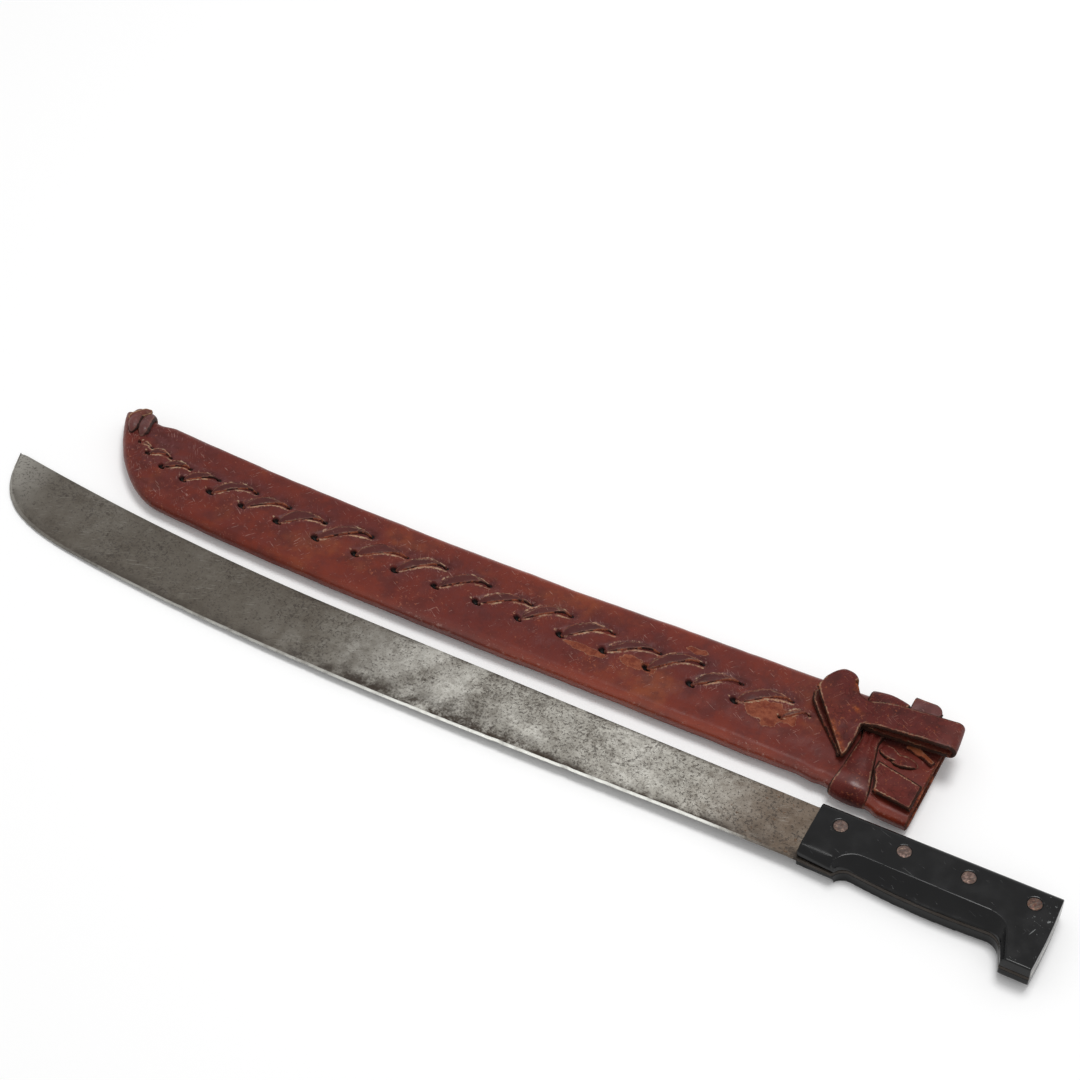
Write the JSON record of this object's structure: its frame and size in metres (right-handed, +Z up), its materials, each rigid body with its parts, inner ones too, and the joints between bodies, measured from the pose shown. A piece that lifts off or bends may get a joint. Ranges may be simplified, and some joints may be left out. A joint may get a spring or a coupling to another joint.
{
  "type": "machete with laced leather sheath",
  "caption": "Swept flat blade with a hooked, scooped and riveted grip, lying beside a folded leather sheath with a laced seam, a keeper band and a belt loop.",
  "frame": {"origin": "on the table under the middle of the whole set's bounding box", "axes": "+X along the blade from its tip towards the butt of the handle, +Y from the machete towards the sheath beside it, +Z up from the table"},
  "size_m": [0.6676, 0.1356, 0.0272],
  "materials": {
    "steel": "mottled grey carbon steel with brown patina, bright ground edge",
    "grip": "near-black worn satin, scuffed at the butt",
    "rivet_front": "dull pinkish grey metal, filed flush",
    "rivet_rear": "reddish brassy metal, worn",
    "hide": "red-brown waxed hide with tan scuffs and raw orange edges",
    "thong": "dark flat thong",
    "raw_thong": "raw orange-tan cut thong"
  },
  "bodies": {
    "machete": {"blade": "steel", "scale_top": "grip", "scale_bottom": "grip", "rivet_1": "rivet_front", "rivet_2": "rivet_front", "rivet_3": "rivet_front", "rivet_4": "rivet_rear", "rivet_cap_1": "rivet_front", "rivet_cap_2": "rivet_front", "rivet_cap_3": "rivet_front", "rivet_cap_4": "rivet_front"},
    "sheath": {"sheath_wrap": "hide", "seam_lacing": "thong", "tip_binding": "thong", "tip_knot": "raw_thong", "keeper_band": "hide", "knot_strap": "hide", "mouth_patch": "hide", "mouth_lace": "thong", "mouth_lace_end": "raw_thong", "strap_tail": "hide"},
    "belt_loop": {"belt_loop": "hide"}
  },
  "joints": [
    {"name": "sheath_draw", "type": "slide", "parent": "machete", "child": "sheath", "axis": [-1, 0, 0], "range_m": [0, 0.45]},
    {"name": "belt_loop_lift", "type": "hinge", "parent": "sheath", "child": "belt_loop", "pos_m": [0.20138, 0.03975, 0.02235], "axis": [0.1045, -0.9945, 0], "range_deg": [0, 25]}
  ]
}
